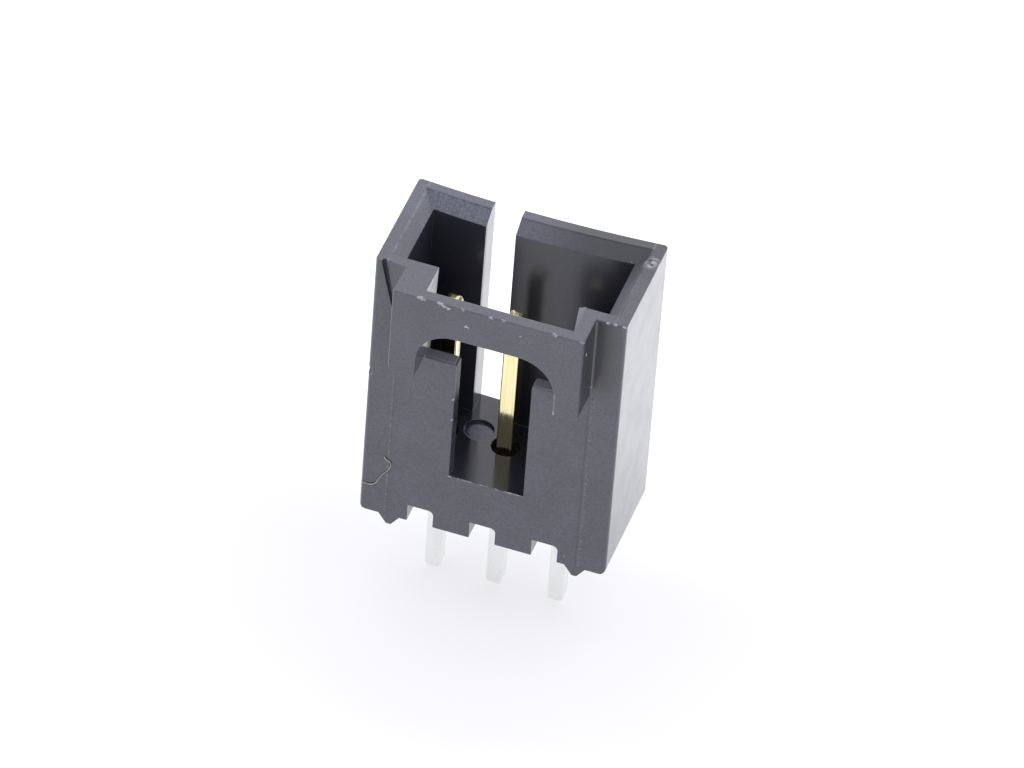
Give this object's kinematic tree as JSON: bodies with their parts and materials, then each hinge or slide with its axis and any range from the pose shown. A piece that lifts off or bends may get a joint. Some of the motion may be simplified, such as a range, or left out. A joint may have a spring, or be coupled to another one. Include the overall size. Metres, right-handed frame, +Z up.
{
  "type": "pin header",
  "caption": "Upright shrouded pin header in black plastic, with square contact pins, a keying slot in the back wall and a latch bridge with an arch in front.",
  "frame": {"origin": "on the middle pin's axis, in the plane of the circuit board that the four feet stand on", "axes": "+X along the row of pins, +Y towards the slotted back wall, +Z up and out of the mouth"},
  "size_m": [0.01, 0.0064, 0.017],
  "materials": {
    "housing_plastic": "moulded, semi-gloss",
    "contact_plating": "gold above the board, tin on the tails"
  },
  "bodies": {
    "root": {"housing": "housing_plastic", "pin_left": "contact_plating", "pin_middle": "contact_plating", "pin_right": "contact_plating"}
  },
  "joints": []
}
